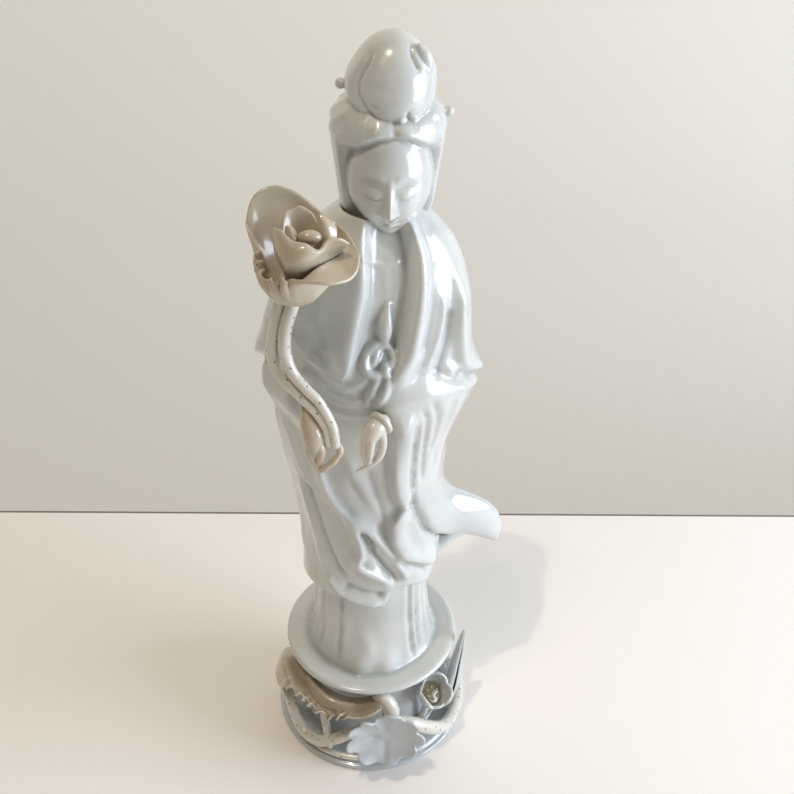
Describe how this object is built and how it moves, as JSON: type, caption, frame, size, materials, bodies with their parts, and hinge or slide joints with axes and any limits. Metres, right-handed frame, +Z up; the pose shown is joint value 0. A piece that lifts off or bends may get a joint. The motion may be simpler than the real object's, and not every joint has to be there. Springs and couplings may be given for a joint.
{
  "type": "guanyin figure",
  "caption": "Standing glazed porcelain guanyin figure with a lotus spray in hand, on a round plinth dressed with lotus leaves, stems and a bloom; an ornament for a shelf or altar.",
  "frame": {"origin": "centre of the plinth's underside, on the surface it stands on", "axes": "+Z up through the figure, -Y the way the figure faces, +X to its left hand"},
  "size_m": [0.1291, 0.1267, 0.4],
  "materials": {
    "white_glaze": "glossy cool white glaze over white porcelain",
    "ivory_glaze": "glossy warm ivory glaze, with small dark pricks on the stems"
  },
  "bodies": {
    "root": {"figure": "white_glaze", "left_hand": "ivory_glaze", "right_hand": "ivory_glaze", "lotus_spray": "ivory_glaze", "plinth": "white_glaze", "plinth_scalloped_leaf": "ivory_glaze", "plinth_left_stem": "ivory_glaze", "plinth_right_stem": "ivory_glaze", "plinth_short_stem": "ivory_glaze", "plinth_bloom": "ivory_glaze", "plinth_frilled_leaf": "ivory_glaze", "plinth_rolled_leaf": "ivory_glaze"}
  },
  "joints": []
}
